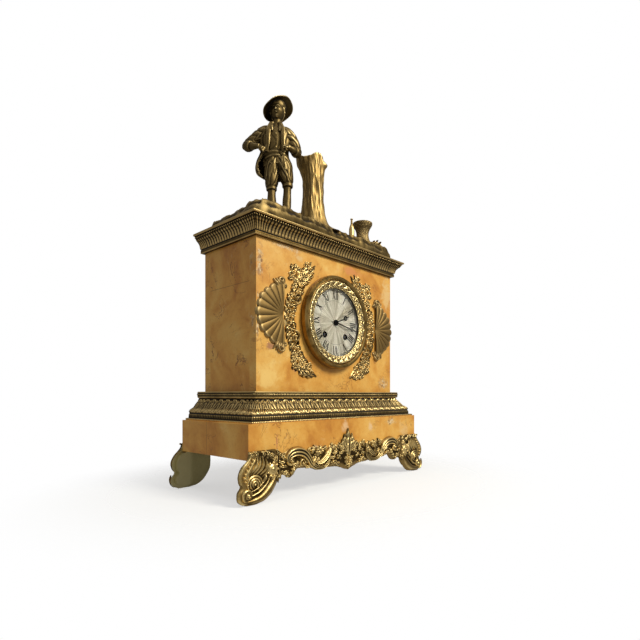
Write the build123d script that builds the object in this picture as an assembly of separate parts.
from build123d import *
import math
import os

# A figural mantel clock: a marble case on a plinth, gilt castings, a cast figure on top
# and an eight-day striking movement with a pendulum inside.
# Millimetres. X to the right, Y to the back, Z up. The origin is on the floor,
# under the middle of the plinth. The dial faces -Y.

# Overall heights, from the floor up
FOOT_H = 46.0
PLINTH_H = 38.4
MOULDING_H = 35.1
BODY_H = 176.0
CORNICE_H = 22.5
TERRAIN_H = 15.6

# Marble plinth and body
PLINTH_W = 319.0
PLINTH_D = 132.2
PLINTH_SLAB = 9.0
BODY_W = 260.0
BODY_D = 103.3
BODY_FRONT_SETBACK = 24.1
SLAB = 12.0
FRONT_HOLE_R = 49.5
BACK_HOLE_R = 50.0
CUT_OVERRUN = 2.0

# Lower bronze moulding: overhangs from the body's face at the sides, and steps up from its base
MOULD_FOOT_OUT = 24.4
MOULD_FOOT_STEP = 2.6
MOULD_OVOLO_OUT = 20.0
MOULD_OVOLO_STEP = 8.0
MOULD_COVE_OUT = 8.9
MOULD_COVE_STEP = 18.7
MOULD_NECK_OUT = 5.1
MOULD_NECK_STEP = 25.6
MOULD_LIP_OUT = 8.0
MOULD_LIP_STEP = 28.4
MOULD_FRONT_TRIM = 1.4
MOULD_BACK_TRIM = 19.0
MOULD_WALL = 10.0
# The frieze on it: upright fans, each an outline of (across, up) shares of the pitch and of its height
MOULD_FAN_PITCH = 14.0
MOULD_FAN_OUT = 1.8
MOULD_FAN_SHARES = (
    (0.0, 0.0), (0.30, 0.30), (0.44, 0.66), (0.20, 1.0), (-0.20, 1.0), (-0.44, 0.66), (-0.30, 0.30),
)

# Cornice
CORN_FILLET_OUT = 4.4
CORN_FILLET_STEP = 4.2
CORN_HOLLOW_OUT = 6.6
CORN_HOLLOW_STEP = 11.5
CORN_COVE_OUT = 12.0
CORN_COVE_STEP = 17.5
CORN_BEAD_STEP = 19.5
CORN_TOP_OUT = 15.2
CORN_BACK_TRIM = 3.6
CORN_WALL = 12.0

# Rocky ground
TERRAIN_W = 272.0
TERRAIN_D = 112.0
TERRAIN_EDGE_STEP = 7.0
TERRAIN_INSET = 6.0
SCALLOP_PITCH = 30.0
SCALLOP_R = 11.0
SCALLOP_DEEP = 2.4
HOLLOW_R = 30.0
HOLLOW_DEEP = 2.6
HOLLOW_SHARES = (
    (-0.41, 0.32), (-0.29, 0.33), (-0.18, 0.32), (-0.06, 0.33), (0.06, 0.33), (0.18, 0.31), (0.30, 0.32),
    (-0.39, 0.05), (0.11, 0.10), (0.22, 0.02), (0.34, 0.05), (-0.42, -0.24), (-0.32, -0.30), (0.10, -0.28),
)
TERRAIN_SHARES = (
    (-0.500, -0.500), (-0.235, -0.520), (0.000, -0.490), (0.220, -0.510), (0.435, -0.460),
    (0.452, -0.270), (0.438, 0.090), (0.446, 0.370), (0.330, 0.480), (0.070, 0.470),
    (-0.220, 0.490), (-0.480, 0.475), (-0.492, 0.260), (-0.505, -0.170),
)

# Tree stump: (height share, radius share of its width)
STUMP_X = -13.0
STUMP_Y = -15.0
STUMP_H = 104.0
STUMP_W = 29.0
STUMP_PROFILE_SHARES = (
    (0.00, 0.96), (0.10, 0.72), (0.24, 0.56), (0.45, 0.48), (0.66, 0.50), (0.84, 0.58), (1.00, 0.56),
)
STUMP_HOLLOW_R = 8.0
STUMP_HOLLOW_DEEP = 5.0
STUMP_ROOTS = 5
STUMP_ROOT_R = 5.0
STUMP_ROOT_SHARE = 0.80

# Figure: all tables are shares of its height. Each row is height, x, y, half width, half depth
FIGURE_H = 168.0
FIGURE_X = -61.0
FIGURE_Y = -3.0
FIGURE_TURN = -40.0
LEG_SHARES = (
    (0.035, 0.022, 0.026), (0.100, 0.024, 0.026), (0.180, 0.033, 0.034), (0.275, 0.030, 0.030),
    (0.280, 0.040, 0.042), (0.400, 0.048, 0.050), (0.500, 0.052, 0.060),
)
RIGHT_LEG_X_SHARES = (-0.052, -0.050, -0.054, -0.056, -0.058, -0.056, -0.052)
LEFT_LEG_X_SHARES = (0.052, 0.054, 0.058, 0.062, 0.062, 0.050, 0.030)
SHOE_LENGTH_SHARE = 0.095
SHOE_WIDTH_SHARE = 0.050
SHOE_HEIGHT_SHARE = 0.040
TORSO_SHARES = (
    (0.480, -0.030, 0.000, 0.098, 0.070), (0.530, -0.036, 0.000, 0.090, 0.064),
    (0.640, -0.036, 0.002, 0.118, 0.076), (0.710, -0.030, 0.004, 0.118, 0.068),
    (0.750, -0.028, 0.004, 0.085, 0.048), (0.775, -0.026, 0.002, 0.034, 0.034),
)
TAIL_SHARES = ((0.380, -0.036, 0.072, 0.143, 0.024), (0.560, -0.036, 0.056, 0.125, 0.028))
RIGHT_ARM_SHARES = (
    (-0.125, 0.005, 0.705, 0.046), (-0.245, 0.020, 0.612, 0.040), (-0.150, -0.075, 0.560, 0.026),
)
LEFT_ARM_SHARES = (
    (0.075, 0.008, 0.705, 0.046), (0.142, 0.040, 0.590, 0.042), (0.050, -0.090, 0.560, 0.026),
)
HEAD_AT_SHARES = (-0.018, -0.006, 0.868)
HEAD_R_SHARE = 0.062
HEAD_TALL_SHARE = 1.22
NECK_R_SHARE = 0.032
HAT_AT_SHARES = (-0.018, 0.012, 0.905)
HAT_BRIM_SHARE = 0.122
HAT_CROWN_SHARE = 0.078
HAT_TILT = -22.0
HAT_BACK_TILT = -18.0
HAT_BRIM_THICK_SHARE = 0.020
HAT_DROOP_SHARE = 0.060

# Still life on the ground: a bottle, a basket hat and a curled branch
BOTTLE_X = 50.0
BOTTLE_Y = -32.0
BOTTLE_R = 3.8
BOTTLE_BODY_H = 21.0
BOTTLE_NECK_R = 1.5
BOTTLE_NECK_H = 11.0
BASKET_X = 76.0
BASKET_Y = -31.0
BASKET_R = 14.0
BASKET_WAIST_R = 8.5
BASKET_H = 33.0
BASKET_RIM_H = 7.0
BASKET_HOLLOW_DEEP = 5.0
BASKET_WALL = 1.6
BASKET_FOOT_SHARE = 0.9
BRANCH_X = 101.0
BRANCH_Y = -36.0
BRANCH_R = 9.0
BRANCH_WIRE_R = 2.0

# Feet and apron, seen from the front. Shares are of the foot's width and height
FOOT_W = 57.0
FOOT_OUTER_X = 176.0
FOOT_PROUD = 3.9
FOOT_BACK_THICK = 5.0
FOOT_BACK_INSET = 4.0
FOOT_SHELF_DEEP = 22.0
FOOT_SHELF_THICK = 2.5
FOOT_SHELF_INSET = 14.0
FOOT_FLANGE_UP = 10.0
FOOT_BOSS_R = 7.0
FOOT_BOSS_IN_SHARE = 0.85
FOOT_BOSS_UP_SHARE = 0.74
FOOT_BOSS_PROUD = 2.5
FOOT_NECK_SHARE = 0.24
FOOT_ARC_SHARES = (
    (0.06, 0.90, 0.03, 0.67), (0.04, 0.50, 0.10, 0.41), (0.00, 0.24, 0.06, 0.07),
    (0.11, 0.02, 0.19, 0.00), (0.37, 0.00, 0.55, 0.00), (0.70, 0.08, 0.80, 0.24),
    (0.88, 0.38, 1.00, 0.50),
)
APRON_DEEP = 7.0
APRON_LEAF_UP = 16.5
APRON_LEAF_W = 26.0
APRON_BOTTOM_SHARES = (
    (-0.500, 0.52), (-0.437, 0.46), (-0.374, 0.65), (-0.286, 0.63), (-0.235, 0.54),
    (-0.197, 0.61), (-0.109, 0.57), (-0.040, 0.50), (0.000, 0.43),
)

# Side mounts: a scallop shell with a crescent of leaves and roses
MOUNT_PROUD = 6.0
SHELL_HUB_X = 86.0
SHELL_REACH = 42.6
SHELL_HALF_H = 44.0
SHELL_RIBS = 17
SHELL_LOBE = 1.6
CRESCENT_GAP = 11.5
CRESCENT_W = 14.5
CRESCENT_TOP_DEG = 113.0
CRESCENT_BOTTOM_DEG = 247.0
ROSE_R = 12.0
ROSE_IN = 10.0
MOUNT_TOP_GAP = 4.4
MOUNT_BOTTOM_GAP = 11.0
ROSE_TOP_DEG = 139.0
ROSE_BOTTOM_DEG = 224.0

# Dial and bezels
DIAL_UP_SHARE = 0.51875
DIAL_R = 46.6
DIAL_FACE_Y = -45.0
DIAL_THICK = 1.0
DIAL_CENTRE_HOLE_R = 3.4
DIAL_FOOT_R = 1.6
DIAL_FOOT_AT_R = 38.0
DIAL_FEET_DEG = (68.0, 112.0, 292.0)
BUSH_R = 3.7
BUSH_HOLE_R = 2.7
BUSH_PROUD = 0.6
SEAT_R = 60.0
SEAT_IN_R = 47.2
SEAT_THICK = 2.2
SPIGOT_R = 49.0
LEDGE_IN_R = 45.4
LEDGE_THICK = 2.0
BEZEL_R = 61.0
BEZEL_IN_R = 55.5
BEZEL_FRONT_Y = -53.0
DOOR_GAP = 0.3
RING_ROUND_SHARE = 0.25
FOLIATE_IN_R = 44.5
FOLIATE_FRONT_Y = -52.2
FOLIATE_BACK_Y = -48.6
GLASS_R = 50.0
GLASS_THICK = 1.0
GLASS_RISE = 3.4
HINGE_OUT = 1.7
HINGE_Y = -46.0
HINGE_R = 1.5
HINGE_PIN_R = 0.7
HINGE_HALF = 3.0
HINGE_END = 8.0
HINGE_GAP = 0.3
HINGE_SWEEP_R = 2.2

# Movement. The plates' faces along Y
FRONT_PLATE_Y = -34.0
PLATE_THICK = 2.5
BACK_PLATE_Y = -3.0
FRONT_PLATE_R = 47.0
BACK_PLATE_R = 44.8
PILLAR_R = 2.0
PILLAR_NUT_R = 3.2
PILLAR_NUT_H = 2.0
PILLAR_AT_R = 41.0
PILLAR_DEG = (270.0, 350.0, 45.0, 187.0)
SCREW_TURN_DEG = 45.0
STRAP_W = 8.0
STRAP_THICK = 1.6
STRAP_AT_R = 47.0
STRAP_DEG = (0.0, 180.0)
SCREW_HEAD_R = 2.0
SCREW_HEAD_H = 1.2
RUN = 0.06
FLAT_GAP = 0.3
ARBOR_R = 0.6
PIVOT_R = 0.4

# Wheels: teeth, module, and places from the dial's centre
WIND_X = 20.0
WIND_DOWN = 17.0
BARREL_TEETH = 72
BARREL_MODULE = 0.5
BARREL_DRUM_R = 17.0
BARREL_WALL = 0.9
BARREL_ARBOR_R = 2.2
SPRING_IN_R = 5.0
SPRING_GAP = 0.4
SECOND_PINION_TEETH = 12
SECOND_TEETH = 72
SECOND_MODULE = 0.4
CENTRE_PINION_TEETH = 8
CENTRE_TEETH = 80
CENTRE_MODULE = 0.36
THIRD_PINION_TEETH = 7
THIRD_TEETH = 80
THIRD_MODULE = 0.32
ESCAPE_PINION_TEETH = 7
ESCAPE_TEETH = 33
ESCAPE_R = 8.6
ESCAPE_TOOTH = 1.6
ESCAPE_ARM_W = 1.1
ESCAPE_TOOTH_SHARES = ((0, -0.3), (1, 0.0), (0, 0.15))
STRIKE_SECOND_AT = 18.5
PIN_PINION_TEETH = 8
PIN_TEETH = 70
PIN_MODULE = 0.34
PIN_TURN_DEG = 115.0
PIN_COUNT = 10
STRIKE_PIN_R = 0.45
STRIKE_PIN_AT_R = 9.0
LOCK_PINION_TEETH = 7
LOCK_TEETH = 64
LOCK_MODULE = 0.30
LOCK_TURN_DEG = 60.0
FLY_PINION_TEETH = 6
FLY_TURN_DEG = 30.0
FLY_HALF_W = 4.5
FLY_THICK = 0.4
CANNON_TEETH = 12
MINUTE_TEETH = 36
MOTION_MODULE = 0.5
MINUTE_PINION_TEETH = 10
HOUR_TEETH = 40
MINUTE_TURN_DEG = 35.0
TOOTH_SHARE = 0.27
TIP_SHARE = 0.10
ADDENDUM_SHARE = 0.60
DEDENDUM_SHARE = 1.00
WHEEL_THICK = 1.2
PINION_EXTRA = 0.8
CROSSING_ARMS = 5
CROSSING_ARM_W = 1.6

# Planes of the wheels, along Y
BARREL_FRONT_Y = -30.6
BARREL_BACK_Y = -13.6
LEVEL_A_Y = -15.4
LEVEL_B_Y = -12.0
LEVEL_C_Y = -9.0
LEVEL_D_Y = -6.2
ESCAPE_Y = -26.0
MOTION_BACK_Y = -37.0
MOTION_FRONT_Y = -40.4
FLY_FRONT_Y = -22.0
FLY_BACK_Y = -15.0

# Hands
HAND_THICK = 0.4
HOUR_HAND_Y = -46.6
MINUTE_HAND_Y = -47.6
HOUR_HAND_LEN = 29.0
MINUTE_HAND_LEN = 41.0
HAND_HUB_R = 3.8
HAND_W = 1.5
HAND_TIP_W = 1.0
HOUR_HAND_DEG = 68.0
MINUTE_HAND_DEG = 101.0
HOUR_MOON_R = 3.2
MINUTE_MOON_R = 2.5
HOUR_MOON_AT = 21.5
MINUTE_MOON_AT = 32.5
MOON_HOLE_SHARE = 0.55
HOUR_PIPE_R = 2.7
CANNON_PIPE_R = 1.9
CENTRE_ARBOR_R = 1.2
CAP_R = 2.2
CAP_H = 1.2

# Anchor, pendulum and hammer
ANCHOR_UP = 11.4
ANCHOR_HUB_R = 1.8
ANCHOR_ARM_W = 1.2
ANCHOR_SPREAD_DEG = 48.0
PALLET_GAP = 0.9
CRUTCH_LEN = 18.0
CRUTCH_W = 1.4
CRUTCH_FORK_GAP = 0.45
PEND_UP = 44.0
PEND_Y = 12.0
PEND_ROD_R = 0.9
PEND_EYE_R = 2.2
PEND_PIN_R = 0.9
PEND_FLOOR_GAP = 4.0
BOB_R = 14.5
BOB_THICK = 7.0
BOB_EDGE = 1.6
BOB_SHOULDER_SHARE = 0.75
NUT_R = 3.0
NUT_H = 2.4
COCK_HALF_W = 9.0
COCK_POST_R = 1.8
COCK_THICK = 1.8
COCK_FRONT_Y = 5.4
HAMMER_X = -34.0
HAMMER_UP = 2.0
HAMMER_ARM_Y = 20.5
HAMMER_ARM_W = 1.8
HAMMER_TAIL_W = 1.2
HAMMER_HEAD_R = 3.0
HAMMER_HEAD_LEN = 6.0
HAMMER_GAP = 0.8
HAMMER_HEAD_DEG = 211.0
COUNT_R = 12.0
COUNT_Y = 1.6
COUNT_NOTCHES = 12
COUNT_NOTCH_SHARES = ((1, 0.0), (1, 0.4), (1, 0.8), (0, 0.8), (0, 1.0))
BELL_R = 30.0
BELL_WALL = 1.2
BELL_RIM_Y = 18.0
BELL_DEEP = 16.0
BELL_DOWN = 5.0
BELL_SHARES = ((1.00, 0.00), (0.97, 0.25), (0.88, 0.55), (0.70, 0.80), (0.40, 0.96), (0.00, 1.00))
BELL_POST_X = 30.0
BELL_POST_DOWN = 30.0
BELL_POST_R = 2.2
BELL_ARM_W = 5.0
BELL_ARM_THICK = 2.0
BELL_NUT_R = 3.0
BELL_NUT_H = 2.0

# Rear ring and door
REAR_RING_R = 57.0
REAR_RING_PROUD = 1.5
REAR_RING_IN_R = 46.0
REAR_DOOR_R = 55.0
REAR_DOOR_THICK = 1.6
REAR_HINGE_OUT = 2.0
REAR_KNOB_R = 3.0
REAR_KNOB_H = 5.0

# Worked out from the sizes above
PLINTH_Z = FOOT_H
MOULD_Z = PLINTH_Z + PLINTH_H
BODY_Z = MOULD_Z + MOULDING_H
CORNICE_Z = BODY_Z + BODY_H
GROUND_Z = CORNICE_Z + CORNICE_H
STAND_Z = GROUND_Z + TERRAIN_H
DIAL_Z = BODY_Z + DIAL_UP_SHARE * BODY_H
PLINTH_FRONT = -PLINTH_D / 2
BODY_FRONT = PLINTH_FRONT + BODY_FRONT_SETBACK
BODY_BACK = BODY_FRONT + BODY_D
HALF_BODY = BODY_W / 2
INNER_HALF = HALF_BODY - SLAB
INNER_FRONT = BODY_FRONT + SLAB
INNER_BACK = BODY_BACK - SLAB
FLOOR_TOP = BODY_Z + SLAB
CEILING = CORNICE_Z - SLAB
PLATE_BACK_Y = FRONT_PLATE_Y + PLATE_THICK
BACK_PLATE_END = BACK_PLATE_Y + PLATE_THICK
APRON_W = 2 * (FOOT_OUTER_X - FOOT_W)
CRESCENT_IN_R = BEZEL_R + CRESCENT_GAP
CRESCENT_OUT_R = CRESCENT_IN_R + CRESCENT_W
ROSE_AT_R = CRESCENT_IN_R + ROSE_IN
PEND_LEN = PEND_UP + DIAL_Z - FLOOR_TOP - PEND_FLOOR_GAP - BOB_R - 2 * NUT_H
FIG_PLACE = Pos(FIGURE_X, FIGURE_Y, STAND_Z) * Rot(0, 0, FIGURE_TURN)


def polar(radius, degrees):
    """A point at a radius and an angle counted from +X towards +Z."""
    angle = math.radians(degrees)
    return radius * math.cos(angle), radius * math.sin(angle)


def box(x0, x1, y0, y1, z0, z1):
    """A block between six limits."""
    centre = Pos((x0 + x1) / 2, (y0 + y1) / 2, (z0 + z1) / 2)
    return centre * Box(x1 - x0, y1 - y0, z1 - z0)


def rod(x, z, radius, y0, y1):
    """A round bar along Y, placed from the dial's centre."""
    return Pos(x, (y0 + y1) / 2, DIAL_Z + z) * Rot(90, 0, 0) * Cylinder(radius, y1 - y0)


def tube(x, z, outer, inner, y0, y1):
    """A round tube along Y, placed from the dial's centre."""
    return rod(x, z, outer, y0, y1) - rod(x, z, inner, y0 - CUT_OVERRUN, y1 + CUT_OVERRUN)


def upright(x, y, radius, z0, z1):
    """A round bar along Z."""
    return Pos(x, y, (z0 + z1) / 2) * Cylinder(radius, z1 - z0)


def plate_xz(points, y0, y1):
    """A flat plate of a closed outline in X and Z, from y0 to y1."""
    corners = [Vector(x, y0, z) for x, z in points]
    face = Face(Wire.make_polygon(corners, close=True))
    return extrude(face, amount=y1 - y0, dir=(0, 1, 0))


def arc_plate(start, steps, y0, y1):
    """A flat plate whose outline is lines and arcs. A step is (end) or (middle, end)."""
    edges = []
    here = start
    for step in steps:
        end = step[-1]
        a = Vector(here[0], y0, here[1])
        b = Vector(end[0], y0, end[1])
        if len(step) == 1:
            edges.append(Edge.make_line(a, b))
        else:
            middle = Vector(step[0][0], y0, step[0][1])
            edges.append(Edge.make_three_point_arc(a, middle, b))
        here = end
    face = Face(Wire(edges))
    return extrude(face, amount=y1 - y0, dir=(0, 1, 0))


def turned(profile, x, z):
    """A solid turned about Y. The profile is (radius, y) points."""
    corners = [Vector(r, y, 0) for r, y in profile]
    face = Face(Wire.make_polygon(corners, close=True))
    return Pos(x, 0, DIAL_Z + z) * revolve(face, Axis.Y, 360)


def mirrored(shape):
    """The same piece on the other side."""
    return shape.mirror(Plane.YZ)


def loft_rings(rows):
    """A solid through ellipses. A row is z, x, y, half width, half depth."""
    rings = []
    for z, x, y, half_w, half_d in rows:
        rings.append(Pos(x, y, z) * Ellipse(half_w, half_d).face())
    return loft(rings, ruled=True)


def limb(points):
    """A bent limb of cones and balls. A point is x, y, z, radius."""
    pieces = []
    for x, y, z, radius in points:
        pieces.append(Pos(x, y, z) * Sphere(radius))
    for first, last in zip(points, points[1:]):
        a = Vector(*first[:3])
        b = Vector(*last[:3])
        plane = Plane(origin=a, z_dir=b - a)
        length = (b - a).length
        bone = loft([plane * Circle(first[3]).face(), plane.offset(length) * Circle(last[3]).face()])
        pieces.append(bone)
    solid = pieces[0]
    for piece in pieces[1:]:
        solid = solid + piece
    return solid


# Gears


def tooth_outline(teeth, module, phase):
    """The outline of a wheel with flat-sided teeth. The first tooth points at phase degrees."""
    pitch = 360 / teeth
    tip_r = teeth * module / 2 + ADDENDUM_SHARE * module
    root_r = teeth * module / 2 - DEDENDUM_SHARE * module
    points = []
    for count in range(teeth):
        at = phase + count * pitch
        for radius, share in ((root_r, -TOOTH_SHARE), (tip_r, -TIP_SHARE),
                              (tip_r, TIP_SHARE), (root_r, TOOTH_SHARE)):
            points.append(polar(radius, at + share * pitch))
    return points


def wheel(place, teeth, module, phase, y, crossed=True):
    """A thin toothed wheel with crossed arms."""
    x, z = place
    outline = [(x + px, DIAL_Z + z + pz) for px, pz in tooth_outline(teeth, module, phase)]
    solid = plate_xz(outline, y, y + WHEEL_THICK)
    if not crossed:
        return solid
    rim = teeth * module / 2 - DEDENDUM_SHARE * module - CROSSING_ARM_W
    hub = ARBOR_R + CROSSING_ARM_W
    window = tube(x, z, rim, hub, y - CUT_OVERRUN, y + WHEEL_THICK + CUT_OVERRUN)
    for arm in range(CROSSING_ARMS):
        bar = box(0, rim + CROSSING_ARM_W, y - WHEEL_THICK - CUT_OVERRUN, y + WHEEL_THICK + CUT_OVERRUN,
                  -CROSSING_ARM_W / 2, CROSSING_ARM_W / 2)
        window = window - Pos(x, 0, DIAL_Z + z) * Rot(0, arm * 360 / CROSSING_ARMS, 0) * bar
    return solid - window


def pinion(place, leaves, module, phase, y):
    """A small pinion, a little longer than the wheel that drives it."""
    x, z = place
    outline = [(x + px, DIAL_Z + z + pz) for px, pz in tooth_outline(leaves, module, phase)]
    return plate_xz(outline, y - PINION_EXTRA / 2, y + WHEEL_THICK + PINION_EXTRA / 2)


def mesh_phase(direction, teeth_a, phase_a, teeth_b):
    """The phase of wheel B that puts a gap where wheel A has its tooth."""
    return direction + 180 + 180 / teeth_b - (phase_a - direction) * teeth_a / teeth_b


def bearing(teeth_a, teeth_b, module):
    """The distance between two meshed arbors."""
    return (teeth_a + teeth_b) * module / 2


def heading(a, b):
    """The angle from point a to point b."""
    return math.degrees(math.atan2(b[1] - a[1], b[0] - a[0]))


def third_corner(a, b, from_a, from_b, side):
    """The point at two given distances from a and b."""
    span = math.dist(a, b)
    along = (from_a ** 2 - from_b ** 2 + span ** 2) / (2 * span)
    off = math.sqrt(from_a ** 2 - along ** 2)
    ux = (b[0] - a[0]) / span
    uz = (b[1] - a[1]) / span
    return a[0] + ux * along - side * uz * off, a[1] + uz * along + side * ux * off


CENTRE = (0, 0)
GOING = (WIND_X, -WIND_DOWN)
STRIKE = (-WIND_X, -WIND_DOWN)
SECOND_OUT = bearing(BARREL_TEETH, SECOND_PINION_TEETH, BARREL_MODULE)
SECOND_IN = bearing(SECOND_TEETH, CENTRE_PINION_TEETH, SECOND_MODULE)
SECOND = third_corner(CENTRE, GOING, SECOND_IN, SECOND_OUT, 1)
SECOND_STRIKE = third_corner(CENTRE, STRIKE, STRIKE_SECOND_AT, SECOND_OUT, -1)
THIRD = (0, bearing(CENTRE_TEETH, THIRD_PINION_TEETH, CENTRE_MODULE))
ESCAPE = (0, THIRD[1] + bearing(THIRD_TEETH, ESCAPE_PINION_TEETH, THIRD_MODULE))
ANCHOR = (0, ESCAPE[1] + ANCHOR_UP)
PIN_STEP = polar(bearing(SECOND_TEETH, PIN_PINION_TEETH, SECOND_MODULE), PIN_TURN_DEG)
PIN_WHEEL = (SECOND_STRIKE[0] + PIN_STEP[0], SECOND_STRIKE[1] + PIN_STEP[1])
LOCK_STEP = polar(bearing(PIN_TEETH, LOCK_PINION_TEETH, PIN_MODULE), LOCK_TURN_DEG)
LOCK = (PIN_WHEEL[0] + LOCK_STEP[0], PIN_WHEEL[1] + LOCK_STEP[1])
FLY_STEP = polar(bearing(LOCK_TEETH, FLY_PINION_TEETH, LOCK_MODULE), FLY_TURN_DEG)
FLY = (LOCK[0] + FLY_STEP[0], LOCK[1] + FLY_STEP[1])
HAMMER = (HAMMER_X, HAMMER_UP)
MINUTE_ARBOR = polar(bearing(CANNON_TEETH, MINUTE_TEETH, MOTION_MODULE), MINUTE_TURN_DEG)
HOUR_MODULE = 2 * math.dist(CENTRE, MINUTE_ARBOR) / (MINUTE_PINION_TEETH + HOUR_TEETH)

SECOND_PINION_PHASE = mesh_phase(heading(GOING, SECOND), BARREL_TEETH, 0, SECOND_PINION_TEETH)
CENTRE_PINION_PHASE = mesh_phase(heading(SECOND, CENTRE), SECOND_TEETH, 0, CENTRE_PINION_TEETH)
THIRD_PINION_PHASE = mesh_phase(heading(CENTRE, THIRD), CENTRE_TEETH, 0, THIRD_PINION_TEETH)
ESCAPE_PINION_PHASE = mesh_phase(heading(THIRD, ESCAPE), THIRD_TEETH, 0, ESCAPE_PINION_TEETH)
STRIKE_PINION_PHASE = mesh_phase(heading(STRIKE, SECOND_STRIKE), BARREL_TEETH, 0, SECOND_PINION_TEETH)
PIN_PINION_PHASE = mesh_phase(heading(SECOND_STRIKE, PIN_WHEEL), SECOND_TEETH, 0, PIN_PINION_TEETH)
LOCK_PINION_PHASE = mesh_phase(heading(PIN_WHEEL, LOCK), PIN_TEETH, 0, LOCK_PINION_TEETH)
FLY_PINION_PHASE = mesh_phase(heading(LOCK, FLY), LOCK_TEETH, 0, FLY_PINION_TEETH)
MINUTE_PHASE = mesh_phase(heading(CENTRE, MINUTE_ARBOR), CANNON_TEETH, 0, MINUTE_TEETH)
HOUR_PHASE = mesh_phase(heading(MINUTE_ARBOR, CENTRE), MINUTE_PINION_TEETH, 0, HOUR_TEETH)


# Marble case


def make_plinth_core():
    """The plain stone block behind the plinth's marble slabs."""
    half_w = PLINTH_W / 2 - PLINTH_SLAB
    half_d = PLINTH_D / 2 - PLINTH_SLAB
    return box(-half_w, half_w, -half_d, half_d, PLINTH_Z, MOULD_Z)


def make_plinth_slabs():
    """Front and back slabs of the full width, and two end slabs between them."""
    half = PLINTH_W / 2
    deep = PLINTH_D / 2 - PLINTH_SLAB
    front = box(-half, half, PLINTH_FRONT, PLINTH_FRONT + PLINTH_SLAB, PLINTH_Z, MOULD_Z)
    side = box(-half, -half + PLINTH_SLAB, -deep, deep, PLINTH_Z, MOULD_Z)
    return [front, front.mirror(Plane.XZ), side, mirrored(side)]


def make_case_front():
    """The front slab with its round opening for the dial."""
    slab = box(-HALF_BODY, HALF_BODY, BODY_FRONT, INNER_FRONT, BODY_Z, CORNICE_Z)
    return slab - rod(0, 0, FRONT_HOLE_R, BODY_FRONT - CUT_OVERRUN, INNER_FRONT + CUT_OVERRUN)


def make_case_back():
    """The back slab with the round opening for the rear door."""
    slab = box(-HALF_BODY, HALF_BODY, INNER_BACK, BODY_BACK, BODY_Z, CORNICE_Z)
    return slab - rod(0, 0, BACK_HOLE_R, INNER_BACK - CUT_OVERRUN, BODY_BACK + CUT_OVERRUN)


def make_case_sides():
    """Two side slabs between the front and the back."""
    side = box(-HALF_BODY, -INNER_HALF, INNER_FRONT, INNER_BACK, BODY_Z, CORNICE_Z)
    return [side, mirrored(side)]


def make_case_boards():
    """The stone floor and ceiling inside the case, and the slab that closes the cornice under the ground."""
    floor = box(-INNER_HALF, INNER_HALF, INNER_FRONT, INNER_BACK, BODY_Z, FLOOR_TOP)
    ceiling = box(-INNER_HALF, INNER_HALF, INNER_FRONT, INNER_BACK, CEILING, CORNICE_Z)
    half = HALF_BODY - CORN_WALL
    top = box(-half, half, BODY_FRONT + CORN_WALL, BODY_BACK - CORN_WALL, CORNICE_Z, GROUND_Z)
    return [floor, ceiling, top]


# Bronze mouldings


def plain_bar(profile, length_half, reach):
    """A bar along X of one profile, given as (out, up) from the body's edge."""
    corners = [Vector(-length_half - reach, -out, up) for out, up in profile]
    face = Face(Wire.make_polygon(corners, close=True))
    return extrude(face, amount=2 * (length_half + reach), dir=(1, 0, 0))


def mitred_bar(profile, length_half, inner_back, relief=None):
    """One bar of a moulding, mitred at both ends. relief(length_half, reach) makes what stands out on it."""
    reach = max(out for out, up in profile)
    bar = plain_bar(profile, length_half, reach)
    if relief:
        bar = bar + relief(length_half, reach)
    top = max(up for out, up in profile) + CUT_OVERRUN
    low = min(up for out, up in profile) - CUT_OVERRUN
    far = length_half + reach + CUT_OVERRUN
    deep = reach + inner_back
    for side in (-1, 1):
        wedge = [
            Vector(side * (length_half - deep), deep, low),
            Vector(side * (length_half + deep), -deep, low),
            Vector(side * (far + deep), -deep, low),
            Vector(side * (far + deep), deep, low),
        ]
        cutter = extrude(Face(Wire.make_polygon(wedge, close=True)), amount=top - low, dir=(0, 0, 1))
        bar = bar - cutter
    return bar


def framed(profile, front_extra, back_trim, inner, relief=None):
    """Front, back and side bars round the body, mitred, with the relief on all but the back one."""
    deep_half = BODY_D / 2
    middle = (BODY_FRONT + BODY_BACK) / 2
    front = Pos(0, BODY_FRONT, 0) * mitred_bar(profile, HALF_BODY, inner, relief)
    side = Pos(-HALF_BODY, middle, 0) * Rot(0, 0, -90) * mitred_bar(profile, deep_half, inner, relief)
    back = Pos(0, BODY_BACK, 0) * Rot(0, 0, 180) * mitred_bar(profile, HALF_BODY, inner)
    high = max(up for out, up in profile) + CUT_OVERRUN
    low = min(up for out, up in profile) - CUT_OVERRUN
    reach = max(out for out, up in profile)
    far = HALF_BODY + reach + CUT_OVERRUN
    keep = box(-far, far, BODY_FRONT - reach - front_extra, BODY_BACK + reach - back_trim, low, high)
    bars = [bar & keep for bar in (front, side, mirrored(side), back)]
    return [bar.solids()[0] for bar in bars]


def mould_fans(length_half, reach):
    """The frieze of fans on a bar of the lower moulding, within the bar's length."""
    low = MOULD_Z + MOULD_OVOLO_STEP
    high = MOULD_Z + MOULD_NECK_STEP
    cove = MOULD_Z + MOULD_COVE_STEP
    raised = [
        (MOULD_OVOLO_OUT + MOULD_FAN_OUT, low), (MOULD_COVE_OUT + MOULD_FAN_OUT, cove),
        (MOULD_NECK_OUT + MOULD_FAN_OUT, high), (-MOULD_WALL, high), (-MOULD_WALL, low),
    ]
    count = int((length_half + MOULD_NECK_OUT) / MOULD_FAN_PITCH)
    fans = []
    for place in range(-count, count + 1):
        corners = [
            Vector((place + across) * MOULD_FAN_PITCH, -reach - CUT_OVERRUN, low + up * (high - low))
            for across, up in MOULD_FAN_SHARES
        ]
        outline = Face(Wire.make_polygon(corners, close=True))
        fans.append(extrude(outline, amount=reach + MOULD_WALL, dir=(0, 1, 0)))
    return plain_bar(raised, length_half, reach) & Compound(fans)


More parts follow.
